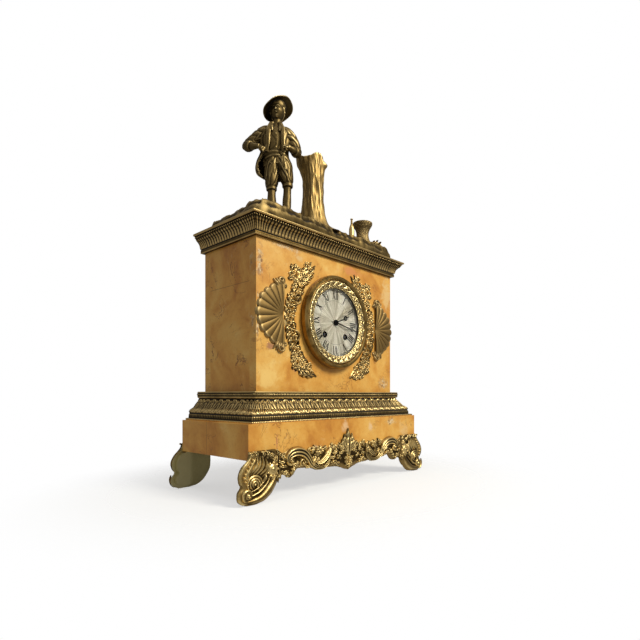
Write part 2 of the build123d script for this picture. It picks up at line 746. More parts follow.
def make_lower_moulding():
    """Ogee bars from the plinth up to the body, with a frieze of fans."""
    steps = (
        (MOULD_FOOT_OUT, 0), (MOULD_FOOT_OUT, MOULD_FOOT_STEP), (MOULD_OVOLO_OUT, MOULD_OVOLO_STEP),
        (MOULD_COVE_OUT, MOULD_COVE_STEP), (MOULD_NECK_OUT, MOULD_NECK_STEP),
        (MOULD_LIP_OUT, MOULD_LIP_STEP), (MOULD_LIP_OUT, MOULDING_H),
    )
    profile = [(out, MOULD_Z + up) for out, up in steps]
    profile += [(-MOULD_WALL, BODY_Z), (-MOULD_WALL, MOULD_Z)]
    return framed(profile, -MOULD_FRONT_TRIM, MOULD_BACK_TRIM, MOULD_WALL, mould_fans)


def make_cornice():
    """Coved bars on top of the body."""
    steps = (
        (CORN_FILLET_OUT, 0), (CORN_FILLET_OUT, CORN_FILLET_STEP), (CORN_HOLLOW_OUT, CORN_HOLLOW_STEP),
        (CORN_COVE_OUT, CORN_COVE_STEP), (CORN_COVE_OUT, CORN_BEAD_STEP), (CORN_TOP_OUT, CORN_BEAD_STEP),
        (CORN_TOP_OUT, CORNICE_H),
    )
    profile = [(out, CORNICE_Z + up) for out, up in steps]
    profile += [(-CORN_WALL, GROUND_Z), (-CORN_WALL, CORNICE_Z)]
    return framed(profile, 0, CORN_TOP_OUT - CORN_BACK_TRIM, CORN_WALL)


# Ground, stump and still life


def terrain_ring(inset, z):
    """The ground's outline at one height, drawn in by an inset."""
    half_w = TERRAIN_W / 2
    half_d = TERRAIN_D / 2
    points = []
    for share_x, share_y in TERRAIN_SHARES:
        x = share_x * 2 * (half_w - inset)
        y = share_y * 2 * (half_d - inset)
        points.append(Vector(x, y, z))
    return Wire.make_polygon(points, close=True)


def rock_scallops():
    """Upright rounds that bite shallow scallops out of the ground's edge, evenly along each of its sides."""
    low = GROUND_Z + TERRAIN_EDGE_STEP
    edge = terrain_ring(TERRAIN_INSET / 2, low)
    rounds = []
    for side in edge.edges():
        count = max(1, round(side.length / SCALLOP_PITCH))
        along = side % 0
        outward = Vector(along.Y, -along.X, 0)
        for place in range(count):
            centre = side @ ((place + 0.5) / count)
            if outward.dot(Vector(centre.X, centre.Y, 0)) < 0:
                outward = outward * -1
            centre = centre + outward * (SCALLOP_R - SCALLOP_DEEP)
            rounds.append(upright(centre.X, centre.Y, SCALLOP_R, low, STAND_Z + CUT_OVERRUN))
    return rounds


def make_terrain():
    """Cast rocky ground: a steep scalloped edge, and a top with shallow hollows where nothing stands."""
    foot = terrain_ring(0, GROUND_Z)
    shoulder = terrain_ring(TERRAIN_INSET / 2, GROUND_Z + TERRAIN_EDGE_STEP)
    top = terrain_ring(TERRAIN_INSET, STAND_Z)
    ground = Solid.make_loft([foot, shoulder], True) + Solid.make_loft([shoulder, top], True)
    for scallop in rock_scallops():
        ground = ground - scallop
    for share_x, share_y in HOLLOW_SHARES:
        high = STAND_Z + HOLLOW_R - HOLLOW_DEEP
        ground = ground - Pos(share_x * TERRAIN_W, share_y * TERRAIN_D, high) * Sphere(HOLLOW_R)
    return ground


def make_stump():
    """A turned trunk with spreading roots and a hollow top."""
    profile = [Vector(0, 0, 0)]
    for up, out in STUMP_PROFILE_SHARES:
        profile.append(Vector(out * STUMP_W, 0, up * STUMP_H))
    profile.append(Vector(0, 0, STUMP_H))
    trunk = revolve(Face(Wire.make_polygon(profile, close=True)), Axis.Z, 360)
    for root in range(STUMP_ROOTS):
        x, y = polar(STUMP_W * STUMP_ROOT_SHARE, root * 360 / STUMP_ROOTS)
        trunk = trunk + Pos(x, y, 0) * Sphere(STUMP_ROOT_R)
    trunk = trunk - Pos(0, 0, STUMP_H) * Cylinder(STUMP_HOLLOW_R, 2 * STUMP_HOLLOW_DEEP)
    wide = 2 * STUMP_W
    keep = box(-wide, wide, -wide, wide, 0, STUMP_H)
    return Pos(STUMP_X, STUMP_Y, STAND_Z) * (trunk & keep)


def make_bottle():
    """A small bottle with a long neck."""
    body = upright(BOTTLE_X, BOTTLE_Y, BOTTLE_R, STAND_Z, STAND_Z + BOTTLE_BODY_H)
    body = chamfer(body.edges().sort_by(Axis.Z)[-1], BOTTLE_R / 2)
    top = STAND_Z + BOTTLE_BODY_H
    return body + upright(BOTTLE_X, BOTTLE_Y, BOTTLE_NECK_R, top - BOTTLE_R, top + BOTTLE_NECK_H)


def make_basket():
    """A straw basket with a drawn-in waist and a wide open rim."""
    points = (
        (0, 0), (BASKET_R * BASKET_FOOT_SHARE, 0), (BASKET_WAIST_R, BASKET_H / 2),
        (BASKET_R, BASKET_H - BASKET_RIM_H / 2),
        (BASKET_R, BASKET_H), (BASKET_R - BASKET_WALL, BASKET_H),
        (BASKET_WAIST_R, BASKET_H - BASKET_HOLLOW_DEEP), (0, BASKET_H - BASKET_HOLLOW_DEEP),
    )
    face = Face(Wire.make_polygon([Vector(r, 0, z) for r, z in points], close=True))
    return Pos(BASKET_X, BASKET_Y, STAND_Z) * revolve(face, Axis.Z, 360)


def make_branch():
    """A branch curled up from the ground in a half ring."""
    arch = Torus(BRANCH_R, BRANCH_WIRE_R)
    wide = 2 * BRANCH_R
    standing = Rot(90, 0, 0) * arch & box(-wide, wide, -wide, wide, 0, wide)
    return Pos(BRANCH_X, BRANCH_Y, STAND_Z) * Rot(0, 0, FIGURE_TURN) * standing


# Figure


def biggest(shape):
    """The largest solid of a shape that a cut may have split."""
    return max(shape.solids(), key=lambda solid: solid.volume)


def sized(rows):
    """Shares of the figure's height, as millimetres."""
    return [tuple(value * FIGURE_H for value in row) for row in rows]


def make_leg(x_shares):
    """A bare lower leg with a shoe, and a breeches leg above the knee."""
    rows = []
    for (up, half_w, half_d), x in zip(LEG_SHARES, x_shares):
        rows.append((up * FIGURE_H, x * FIGURE_H, 0, half_w * FIGURE_H, half_d * FIGURE_H))
    leg = loft_rings(rows)
    x = x_shares[0] * FIGURE_H
    half = SHOE_WIDTH_SHARE * FIGURE_H / 2
    long = SHOE_LENGTH_SHARE * FIGURE_H
    shoe = box(x - half, x + half, half - long, half, 0, SHOE_HEIGHT_SHARE * FIGURE_H)
    return leg + shoe


def figure_torso():
    """The shirt and the open jacket with its tails behind."""
    return loft_rings(sized(TORSO_SHARES)) + loft_rings(sized(TAIL_SHARES))


def make_figure():
    """Legs, torso, arms, head and hat, each cut clear of the one that it joins."""
    torso = figure_torso()
    legs = make_leg(RIGHT_LEG_X_SHARES) + make_leg(LEFT_LEG_X_SHARES) - torso
    right_arm = limb(sized(RIGHT_ARM_SHARES)) - torso
    left_arm = limb(sized(LEFT_ARM_SHARES)) - torso
    x, y, z = (value * FIGURE_H for value in HEAD_AT_SHARES)
    radius = HEAD_R_SHARE * FIGURE_H
    skull = Pos(x, y, z) * scale(Sphere(radius), by=(1, 1, HEAD_TALL_SHARE))
    low = TORSO_SHARES[-2][0] * FIGURE_H
    neck = upright(TORSO_SHARES[-1][1] * FIGURE_H, y, NECK_R_SHARE * FIGURE_H, low, z)
    head = skull + neck - torso
    hat = make_hat() - head
    stump = make_stump()
    placed = {}
    for piece, shape in (("legs", legs), ("torso", torso), ("head", head), ("hat", hat)):
        placed["figure_" + piece] = biggest(FIG_PLACE * shape - stump)
    placed["figure_arms"] = [biggest(FIG_PLACE * arm - stump) for arm in (right_arm, left_arm)]
    placed["tree_stump"] = stump
    return placed


def make_hat():
    """A soft round hat: a drooping brim and a domed crown."""
    x, y, z = (value * FIGURE_H for value in HAT_AT_SHARES)
    brim_r = HAT_BRIM_SHARE * FIGURE_H
    crown_r = HAT_CROWN_SHARE * FIGURE_H
    thick = HAT_BRIM_THICK_SHARE * FIGURE_H
    droop = HAT_DROOP_SHARE * FIGURE_H
    standing = (Align.CENTER, Align.CENTER, Align.MIN)
    brim = Cone(brim_r, crown_r, droop, align=standing)
    brim = brim - Pos(0, 0, -thick) * Cone(brim_r, crown_r - thick, droop, align=standing)
    wide = 2 * brim_r
    crown = Sphere(crown_r) & box(-wide, wide, -wide, wide, thick, wide)
    return Pos(x, y, z) * Rot(HAT_BACK_TILT, HAT_TILT, 0) * (brim + crown)


# Feet and apron


def foot_outline():
    """The outline of the left front foot: two lobes outside, a scroll foot below and a concave inner edge."""
    left = -FOOT_OUTER_X
    neck_x = left + FOOT_NECK_SHARE * FOOT_W
    top = FOOT_H + FOOT_FLANGE_UP
    steps = [((neck_x, FOOT_H),)]
    for mid_x, mid_z, end_x, end_z in FOOT_ARC_SHARES:
        middle = (left + mid_x * FOOT_W, mid_z * FOOT_H)
        end = (left + end_x * FOOT_W, end_z * FOOT_H)
        steps.append((middle, end) if mid_z or end_z else (end,))
    start = (neck_x, top)
    steps += [((left + FOOT_W, top),), (start,)]
    return start, steps


def make_foot():
    """A thin cast foot at a corner of the plinth: a flange up the plinth's face, a round boss, a set-in rib
    behind its edge, and a shelf under the marble."""
    start, steps = foot_outline()
    outer_y = PLINTH_FRONT - FOOT_PROUD
    back_y = PLINTH_FRONT + FOOT_BACK_THICK
    foot = arc_plate(start, steps, outer_y, PLINTH_FRONT)
    edge = foot.faces().sort_by(Axis.Y)[-1]
    rib = extrude(offset(edge, -FOOT_BACK_INSET), amount=FOOT_BACK_THICK, dir=(0, 1, 0))
    inner_x = -FOOT_OUTER_X + FOOT_W - FOOT_BACK_INSET
    low = box(-FOOT_OUTER_X, inner_x, PLINTH_FRONT - CUT_OVERRUN, back_y + CUT_OVERRUN, 0, PLINTH_Z)
    foot = foot + (rib & low)
    shelf_x = -PLINTH_W / 2 + FOOT_SHELF_INSET
    shelf_z = PLINTH_Z - FOOT_SHELF_THICK
    foot = foot + box(shelf_x, inner_x, PLINTH_FRONT, PLINTH_FRONT + FOOT_SHELF_DEEP, shelf_z, PLINTH_Z)
    boss_x = -FOOT_OUTER_X + FOOT_BOSS_IN_SHARE * FOOT_W
    boss_z = FOOT_BOSS_UP_SHARE * FOOT_H - DIAL_Z
    return foot + rod(boss_x, boss_z, FOOT_BOSS_R, outer_y - FOOT_BOSS_PROUD, outer_y)


def make_apron():
    """The pierced-looking front apron between the feet, with a leaf at its middle."""
    outer_y = PLINTH_FRONT - FOOT_PROUD
    half = [(share * APRON_W, up * FOOT_H) for share, up in APRON_BOTTOM_SHARES]
    bottom = half + [(-x, z) for x, z in reversed(half[:-1])]
    top = PLINTH_Z + FOOT_FLANGE_UP
    leaf = APRON_LEAF_W / 2
    crown = [
        (APRON_W / 2, top), (leaf, top), (leaf / 2, top + APRON_LEAF_UP / 2), (0, top + APRON_LEAF_UP),
        (-leaf / 2, top + APRON_LEAF_UP / 2), (-leaf, top), (-APRON_W / 2, top),
    ]
    apron = plate_xz(bottom + crown, outer_y, outer_y + APRON_DEEP)
    far = APRON_W
    high = top + APRON_LEAF_UP + CUT_OVERRUN
    return apron - box(-far, far, PLINTH_FRONT, PLINTH_FRONT + APRON_DEEP, PLINTH_Z, high)


# Mounts on the front


def make_shell_mount():
    """The left mount: a lobed fan joined to a crescent with two roses."""
    back = BODY_FRONT
    front = BODY_FRONT - MOUNT_PROUD
    rim = []
    for step in range(2 * SHELL_RIBS + 1):
        angle = math.radians(90 + 180 * step / (2 * SHELL_RIBS))
        lobe = SHELL_LOBE if step % 2 else 0
        x = -SHELL_HUB_X + (SHELL_REACH + lobe) * math.cos(angle)
        z = (SHELL_HALF_H + lobe) * math.sin(angle)
        rim.append((x, DIAL_Z + z))
    fan = plate_xz(rim, front, back)
    cut = CUT_OVERRUN
    crescent = tube(0, 0, CRESCENT_OUT_R, CRESCENT_IN_R, front, back)
    low = [(0, DIAL_Z)]
    spread = (CRESCENT_TOP_DEG, 180.0, CRESCENT_BOTTOM_DEG)
    for angle in spread:
        x, z = polar(2 * CRESCENT_OUT_R, angle)
        low.append((x, DIAL_Z + z))
    crescent = crescent & plate_xz(low, front - cut, back + cut)
    mount = fan + crescent
    for angle in (ROSE_TOP_DEG, ROSE_BOTTOM_DEG):
        x, z = polar(ROSE_AT_R, angle)
        mount = mount + rod(x, z, ROSE_R, front, back)
    far = SHELL_HUB_X + 2 * SHELL_REACH
    room = box(-far, 0, front - cut, back + cut, BODY_Z + MOUNT_BOTTOM_GAP, CORNICE_Z - MOUNT_TOP_GAP)
    return (mount & room) - rod(0, 0, CRESCENT_IN_R, front - cut, back + cut)


# Dial, bezels and front door


def make_seat():
    """The brass ring that sits in the marble and carries the dial, the movement and the front hinge."""
    front = BODY_FRONT - SEAT_THICK
    ledge_back = PLATE_BACK_Y + LEDGE_THICK
    seat = turned([
        (SEAT_R, front), (SEAT_R, BODY_FRONT), (SPIGOT_R, BODY_FRONT), (SPIGOT_R, ledge_back),
        (LEDGE_IN_R, ledge_back), (LEDGE_IN_R, PLATE_BACK_Y), (SEAT_IN_R, PLATE_BACK_Y), (SEAT_IN_R, front),
    ], 0, 0)
    hinge_x = BEZEL_R + HINGE_OUT
    lug = box(SEAT_R - SEAT_THICK, hinge_x, front, BODY_FRONT, DIAL_Z - HINGE_HALF, DIAL_Z + HINGE_HALF)
    knuckle = upright(hinge_x, HINGE_Y, HINGE_R, DIAL_Z - HINGE_HALF, DIAL_Z + HINGE_HALF)
    neck = box(hinge_x - HINGE_R, hinge_x + HINGE_R, HINGE_Y, BODY_FRONT,
               DIAL_Z - HINGE_HALF, DIAL_Z + HINGE_HALF)
    pin = upright(hinge_x, HINGE_Y, HINGE_PIN_R, DIAL_Z - HINGE_END, DIAL_Z + HINGE_END)
    return seat + lug + neck + knuckle + pin


def make_dial():
    """The silvered dial with two bushed winding holes and its feet."""
    back = DIAL_FACE_Y + DIAL_THICK
    dial = rod(0, 0, DIAL_R, DIAL_FACE_Y, back)
    for x, z in (GOING, STRIKE):
        dial = dial + rod(x, z, BUSH_R, DIAL_FACE_Y - BUSH_PROUD, back)
        dial = dial - rod(x, z, BUSH_HOLE_R, DIAL_FACE_Y - CUT_OVERRUN, back + CUT_OVERRUN)
    for angle in DIAL_FEET_DEG:
        x, z = polar(DIAL_FOOT_AT_R, angle)
        dial = dial + rod(x, z, DIAL_FOOT_R, back, FRONT_PLATE_Y)
    return dial - rod(0, 0, DIAL_CENTRE_HOLE_R, DIAL_FACE_Y - CUT_OVERRUN, back + CUT_OVERRUN)


def hinge_room():
    """The space that the fixed knuckle needs in the door."""
    hinge_x = BEZEL_R + HINGE_OUT
    half = HINGE_HALF + HINGE_GAP
    return upright(hinge_x, HINGE_Y, HINGE_SWEEP_R, DIAL_Z - half, DIAL_Z + half)


def make_bezel():
    """The plain outer ring of the front door, with its two knuckles."""
    back = BODY_FRONT - SEAT_THICK - DOOR_GAP
    round_off = (BEZEL_R - BEZEL_IN_R) * RING_ROUND_SHARE
    ring = turned([
        (BEZEL_R, back), (BEZEL_IN_R, back), (BEZEL_IN_R, BEZEL_FRONT_Y + round_off),
        (BEZEL_IN_R + round_off, BEZEL_FRONT_Y), (BEZEL_R - round_off, BEZEL_FRONT_Y),
        (BEZEL_R, BEZEL_FRONT_Y + 2 * round_off),
    ], 0, 0)
    hinge_x = BEZEL_R + HINGE_OUT
    half = HINGE_HALF + HINGE_GAP
    for low, high in ((half, HINGE_END), (-HINGE_END, -half)):
        ring = ring + upright(hinge_x, HINGE_Y, HINGE_R, DIAL_Z + low, DIAL_Z + high)
        ring = ring + box(BEZEL_R - HINGE_R, hinge_x, HINGE_Y - HINGE_R, HINGE_Y, DIAL_Z + low, DIAL_Z + high)
        bore = HINGE_PIN_R + RUN
        ring = ring - upright(hinge_x, HINGE_Y, bore, DIAL_Z + low - HINGE_GAP, DIAL_Z + high + HINGE_GAP)
    return ring - hinge_room()


def make_foliate():
    """The gilt ring of leaves round the dial, dished towards the glass."""
    step = (BEZEL_IN_R - FOLIATE_IN_R) * RING_ROUND_SHARE
    return turned([
        (BEZEL_IN_R, FOLIATE_BACK_Y), (GLASS_R, FOLIATE_BACK_Y), (GLASS_R, FOLIATE_BACK_Y - GLASS_THICK),
        (FOLIATE_IN_R, FOLIATE_BACK_Y - GLASS_THICK), (FOLIATE_IN_R, FOLIATE_FRONT_Y + step),
        (BEZEL_IN_R - step, FOLIATE_FRONT_Y), (BEZEL_IN_R, FOLIATE_FRONT_Y + step / 2),
    ], 0, 0)


def make_glass():
    """A thin domed glass with a flat rim behind the ring of leaves."""
    back = FOLIATE_BACK_Y
    front = back - GLASS_THICK
    inner = FOLIATE_IN_R - GLASS_THICK
    rise = (inner ** 2 + GLASS_RISE ** 2) / (2 * GLASS_RISE)
    dome = Pos(0, front - GLASS_RISE + rise, DIAL_Z) * Sphere(rise)
    hollow = Pos(0, front - GLASS_RISE + rise, DIAL_Z) * Sphere(rise - GLASS_THICK)
    cap = (dome - hollow) & rod(0, 0, inner, front - 2 * GLASS_RISE, back)
    rim = tube(0, 0, GLASS_R, inner - GLASS_THICK, front, back)
    inside = hollow & rod(0, 0, inner, front - GLASS_RISE, back + CUT_OVERRUN)
    return cap + rim - inside


# Plates and what they carry


def movement_arbors():
    """Every arbor that is pivoted in both plates, with its pivot radius."""
    small = (SECOND, SECOND_STRIKE, THIRD, ESCAPE, PIN_WHEEL, LOCK, FLY)
    return [(place, PIVOT_R) for place in small] + [(GOING, BARREL_ARBOR_R), (STRIKE, BARREL_ARBOR_R)]


def make_front_plate():
    """The round front plate with its pivot holes and the minute wheel's stud."""
    plate = rod(0, 0, FRONT_PLATE_R, FRONT_PLATE_Y, PLATE_BACK_Y)
    holes = movement_arbors() + [(CENTRE, CENTRE_ARBOR_R), (ANCHOR, PIVOT_R), (HAMMER, PIVOT_R)]
    for (x, z), radius in holes:
        plate = plate - rod(x, z, radius + RUN, FRONT_PLATE_Y - CUT_OVERRUN, PLATE_BACK_Y + CUT_OVERRUN)
    for angle in PILLAR_DEG:
        x, z = polar(PILLAR_AT_R, angle)
        plate = plate - rod(x, z, PILLAR_R / 2, FRONT_PLATE_Y - CUT_OVERRUN, PLATE_BACK_Y + CUT_OVERRUN)
    x, z = MINUTE_ARBOR
    return plate + rod(x, z, ARBOR_R, MOTION_FRONT_Y - WHEEL_THICK, FRONT_PLATE_Y)


def make_back_plate():
    """The round back plate, open where the anchor, the hammer and the count wheel pass."""
    plate = rod(0, 0, BACK_PLATE_R, BACK_PLATE_Y, BACK_PLATE_END)
    holes = movement_arbors() + [(CENTRE, PIVOT_R), (HAMMER, ARBOR_R)]
    for (x, z), radius in holes:
        plate = plate - rod(x, z, radius + RUN, BACK_PLATE_Y - CUT_OVERRUN, BACK_PLATE_END + CUT_OVERRUN)
    plate = plate - rod(*ANCHOR, ANCHOR_HUB_R, BACK_PLATE_Y - CUT_OVERRUN, BACK_PLATE_END + CUT_OVERRUN)
    for angle in PILLAR_DEG:
        x, z = polar(PILLAR_AT_R, angle)
        plate = plate - rod(x, z, PILLAR_R / 2, BACK_PLATE_Y - CUT_OVERRUN, BACK_PLATE_END + CUT_OVERRUN)
    return plate


def make_pillars():
    """Four pillars between the plates, each with a shank and a nut at both ends."""
    pillars = []
    for angle in PILLAR_DEG:
        x, z = polar(PILLAR_AT_R, angle)
        pillar = rod(x, z, PILLAR_R, PLATE_BACK_Y, BACK_PLATE_Y)
        pillar = pillar + rod(x, z, PILLAR_R / 2, FRONT_PLATE_Y - PILLAR_NUT_H, BACK_PLATE_END + PILLAR_NUT_H)
        pillar = pillar + rod(x, z, PILLAR_NUT_R, FRONT_PLATE_Y - PILLAR_NUT_H, FRONT_PLATE_Y)
        pillar = pillar + rod(x, z, PILLAR_NUT_R, BACK_PLATE_END, BACK_PLATE_END + PILLAR_NUT_H)
        pillars.append(pillar)
    return pillars


def make_straps():
    """Two steel straps from the front ring to the rear ring."""
    straps = []
    front = PLATE_BACK_Y + LEDGE_THICK
    for angle in STRAP_DEG:
        x = STRAP_AT_R * math.cos(math.radians(angle))
        half = STRAP_THICK / 2
        straps.append(box(x - half, x + half, front, INNER_BACK, DIAL_Z - STRAP_W / 2, DIAL_Z + STRAP_W / 2))
    return straps


def make_rear_ring():
    """The brass ring in the back opening, with the rear hinge."""
    front = INNER_BACK
    face = BODY_BACK + REAR_RING_PROUD
    ring = turned([
        (REAR_RING_IN_R, front), (BACK_HOLE_R - FLAT_GAP, front), (BACK_HOLE_R - FLAT_GAP, BODY_BACK),
        (REAR_RING_R, BODY_BACK), (REAR_RING_R, face), (REAR_RING_IN_R, face),
    ], 0, 0)
    hinge_x = REAR_DOOR_R + REAR_HINGE_OUT
    hinge_y = face + HINGE_R
    lug = box(hinge_x - HINGE_R, hinge_x + HINGE_R, BODY_BACK, hinge_y,
              DIAL_Z - HINGE_HALF, DIAL_Z + HINGE_HALF)
    knuckle = upright(hinge_x, hinge_y, HINGE_R, DIAL_Z - HINGE_HALF, DIAL_Z + HINGE_HALF)
    pin = upright(hinge_x, hinge_y, HINGE_PIN_R, DIAL_Z - HINGE_END, DIAL_Z + HINGE_END)
    return ring + lug + knuckle + pin


def make_rear_door():
    """The plain round rear door with a knob."""
    face = BODY_BACK + REAR_RING_PROUD
    front = face + DOOR_GAP
    back = front + REAR_DOOR_THICK
    hinge_x = REAR_DOOR_R + REAR_HINGE_OUT
    hinge_y = face + HINGE_R
    door = rod(0, 0, REAR_DOOR_R, front, back)
    half = HINGE_HALF + HINGE_GAP
    for low, high in ((half, HINGE_END), (-HINGE_END, -half)):
        door = door + upright(hinge_x, hinge_y, HINGE_R - RUN, DIAL_Z + low, DIAL_Z + high)
        door = door + box(REAR_DOOR_R - REAR_KNOB_R, hinge_x, front, back, DIAL_Z + low, DIAL_Z + high)
        bore = HINGE_PIN_R + RUN
        door = door - upright(hinge_x, hinge_y, bore, DIAL_Z + low - HINGE_GAP, DIAL_Z + high + HINGE_GAP)
    door = door - upright(hinge_x, hinge_y, HINGE_SWEEP_R, DIAL_Z - half, DIAL_Z + half)
    knob_x = -(REAR_DOOR_R - 2 * REAR_KNOB_R)
    return door + rod(knob_x, 0, REAR_KNOB_R, back, back + REAR_KNOB_H)


def make_screws():
    """Screws of the front plate, of the rear ring and of the suspension cock."""
    screws = []
    for angle in PILLAR_DEG:
        x, z = polar(SEAT_IN_R - SCREW_HEAD_R, angle + SCREW_TURN_DEG)
        screws.append(rod(x, z, SCREW_HEAD_R, FRONT_PLATE_Y - SCREW_HEAD_H, FRONT_PLATE_Y))
    return screws


def make_cock():
    """The bridge behind the back plate that carries the anchor's pivot and the pendulum's pin."""
    x, z = ANCHOR
    back = COCK_FRONT_Y + COCK_THICK
    plate = box(-COCK_HALF_W, COCK_HALF_W, COCK_FRONT_Y, back,
                DIAL_Z + z - 2 * COCK_POST_R, DIAL_Z + PEND_UP + COCK_POST_R)
    for side in (-1, 1):
        post_x = side * (COCK_HALF_W - COCK_POST_R)
        plate = plate + rod(post_x, z - COCK_POST_R / 2, COCK_POST_R, BACK_PLATE_END, COCK_FRONT_Y)
    plate = plate - rod(x, z, ARBOR_R + RUN, COCK_FRONT_Y - CUT_OVERRUN, back + CUT_OVERRUN)
    return plate + rod(0, PEND_UP, PEND_PIN_R, back, PEND_Y + PEND_EYE_R)


def make_bell_stand():
    """A post on the back plate and an arm behind the bell."""
    back = BELL_RIM_Y + BELL_DEEP
    end = back + BELL_ARM_THICK
    post = rod(BELL_POST_X, -BELL_POST_DOWN, BELL_POST_R, BACK_PLATE_END, end)
    length = math.dist((BELL_POST_X, -BELL_POST_DOWN), (0, -BELL_DOWN))
    angle = heading((0, -BELL_DOWN), (BELL_POST_X, -BELL_POST_DOWN))
    arm = box(0, length, back, end, -BELL_ARM_W / 2, BELL_ARM_W / 2)
    arm = Pos(0, 0, DIAL_Z - BELL_DOWN) * Rot(0, -angle, 0) * arm
    eye = rod(0, -BELL_DOWN, BELL_ARM_W / 2, back, end)
    nut = rod(0, -BELL_DOWN, BELL_NUT_R, end, end + BELL_NUT_H)
    return post + arm + eye + nut


def make_bell():
    """A shallow round bell, open towards the movement."""
    outer = [(out * BELL_R, BELL_RIM_Y + deep * BELL_DEEP) for out, deep in BELL_SHARES]
    inner = []
    for out, deep in BELL_SHARES:
        inner.append((max(out * BELL_R - BELL_WALL, 0), BELL_RIM_Y + deep * (BELL_DEEP - BELL_WALL)))
    return turned(outer + inner[::-1], 0, -BELL_DOWN)


# Going train


def arbor(place, y0, y1, radius=ARBOR_R):
    """A steel arbor between the plates with a pivot at each end."""
    x, z = place
    body = rod(x, z, radius, y0, y1)
    return body + rod(x, z, PIVOT_R, FRONT_PLATE_Y, BACK_PLATE_END)


def plain_arbor(place):
    """An arbor that runs from plate to plate, just clear of both."""
    return arbor(place, PLATE_BACK_Y + FLAT_GAP, BACK_PLATE_Y - FLAT_GAP)


def make_barrel(place):
    """A toothed drum with its lid and the coiled spring inside."""
    x, z = place
    teeth = wheel(place, BARREL_TEETH, BARREL_MODULE, 0, LEVEL_A_Y, crossed=False)
    drum = rod(x, z, BARREL_DRUM_R, BARREL_FRONT_Y, BARREL_BACK_Y)
    spring_out = BARREL_DRUM_R - BARREL_WALL
    drum = drum - rod(x, z, spring_out, BARREL_FRONT_Y + BARREL_WALL, BARREL_BACK_Y - BARREL_WALL)
    bore = rod(x, z, BARREL_ARBOR_R + RUN, BARREL_FRONT_Y - CUT_OVERRUN, BARREL_BACK_Y + CUT_OVERRUN)
    ring = teeth - rod(x, z, spring_out, LEVEL_A_Y - CUT_OVERRUN, BARREL_BACK_Y + CUT_OVERRUN)
    shell = drum + ring - bore
    gap = BARREL_WALL + SPRING_GAP
    spring = tube(x, z, spring_out, SPRING_IN_R, BARREL_FRONT_Y + gap, BARREL_BACK_Y - gap)
    return [shell.solids()[0], spring]


def make_winding_arbor(place):
    """The barrel's arbor with the winding square behind the dial's hole."""
    x, z = place
    stem = rod(x, z, BARREL_ARBOR_R, FRONT_PLATE_Y - PLATE_THICK, BACK_PLATE_END)
    half = BARREL_ARBOR_R / math.sqrt(2)
    square = box(x - half, x + half, DIAL_FACE_Y + BUSH_PROUD, FRONT_PLATE_Y,
                 DIAL_Z + z - half, DIAL_Z + z + half)
    collar = rod(x, z, BARREL_ARBOR_R + BARREL_WALL, PLATE_BACK_Y + RUN, BARREL_FRONT_Y - RUN)
    return stem + square + collar


def make_second(place, phase):
    """The second wheel and its pinion, driven by a barrel."""
    body = plain_arbor(place)
    body = body + pinion(place, SECOND_PINION_TEETH, BARREL_MODULE, phase, LEVEL_A_Y)
    return body + wheel(place, SECOND_TEETH, SECOND_MODULE, 0, LEVEL_B_Y)


def make_centre():
    """The centre arbor, which passes through the dial, with its wheel and pinion."""
    body = rod(0, 0, CENTRE_ARBOR_R, MINUTE_HAND_Y, BACK_PLATE_Y - FLAT_GAP)
    body = body + rod(0, 0, PIVOT_R, BACK_PLATE_Y - FLAT_GAP, BACK_PLATE_END)
    body = body + pinion(CENTRE, CENTRE_PINION_TEETH, SECOND_MODULE, CENTRE_PINION_PHASE, LEVEL_B_Y)
    return body + wheel(CENTRE, CENTRE_TEETH, CENTRE_MODULE, 0, LEVEL_C_Y)


def make_third():
    """The third wheel and its pinion."""
    body = plain_arbor(THIRD)
    body = body + pinion(THIRD, THIRD_PINION_TEETH, CENTRE_MODULE, THIRD_PINION_PHASE, LEVEL_C_Y)
    return body + wheel(THIRD, THIRD_TEETH, THIRD_MODULE, 0, LEVEL_D_Y)


def make_escape():
    """The escape wheel with pointed teeth, and its pinion."""
    body = plain_arbor(ESCAPE)
    body = body + pinion(ESCAPE, ESCAPE_PINION_TEETH, THIRD_MODULE, ESCAPE_PINION_PHASE, LEVEL_D_Y)
    x, z = ESCAPE
    points = []
    for tooth in range(ESCAPE_TEETH):
        at = tooth * 360 / ESCAPE_TEETH
        for out, turn in ESCAPE_TOOTH_SHARES:
            px, pz = polar(ESCAPE_R - ESCAPE_TOOTH + out * ESCAPE_TOOTH, at + turn * 360 / ESCAPE_TEETH)
            points.append((x + px, DIAL_Z + z + pz))
    disc = plate_xz(points, ESCAPE_Y, ESCAPE_Y + WHEEL_THICK)
    window = tube(x, z, ESCAPE_R - 2 * ESCAPE_TOOTH, ARBOR_R + ESCAPE_TOOTH, ESCAPE_Y - CUT_OVERRUN, 0)
    for arm in range(CROSSING_ARMS):
        bar = box(0, ESCAPE_R, ESCAPE_Y - 2 * CUT_OVERRUN, CUT_OVERRUN, -ESCAPE_ARM_W / 2, ESCAPE_ARM_W / 2)
        window = window - Pos(x, 0, DIAL_Z + z) * Rot(0, arm * 360 / CROSSING_ARMS, 0) * bar
    return body + (disc - window)


# Motion work and hands


def make_cannon():
    """The cannon pinion, friction-tight on the centre arbor, that carries the minute hand."""
    x, z = CENTRE
    pipe = rod(x, z, CANNON_PIPE_R, MINUTE_HAND_Y + HAND_THICK, FRONT_PLATE_Y - FLAT_GAP)
    pipe = pipe + pinion(CENTRE, CANNON_TEETH, MOTION_MODULE, 0, MOTION_BACK_Y)
    return pipe - rod(x, z, CENTRE_ARBOR_R + RUN, MINUTE_HAND_Y - CUT_OVERRUN, FRONT_PLATE_Y)


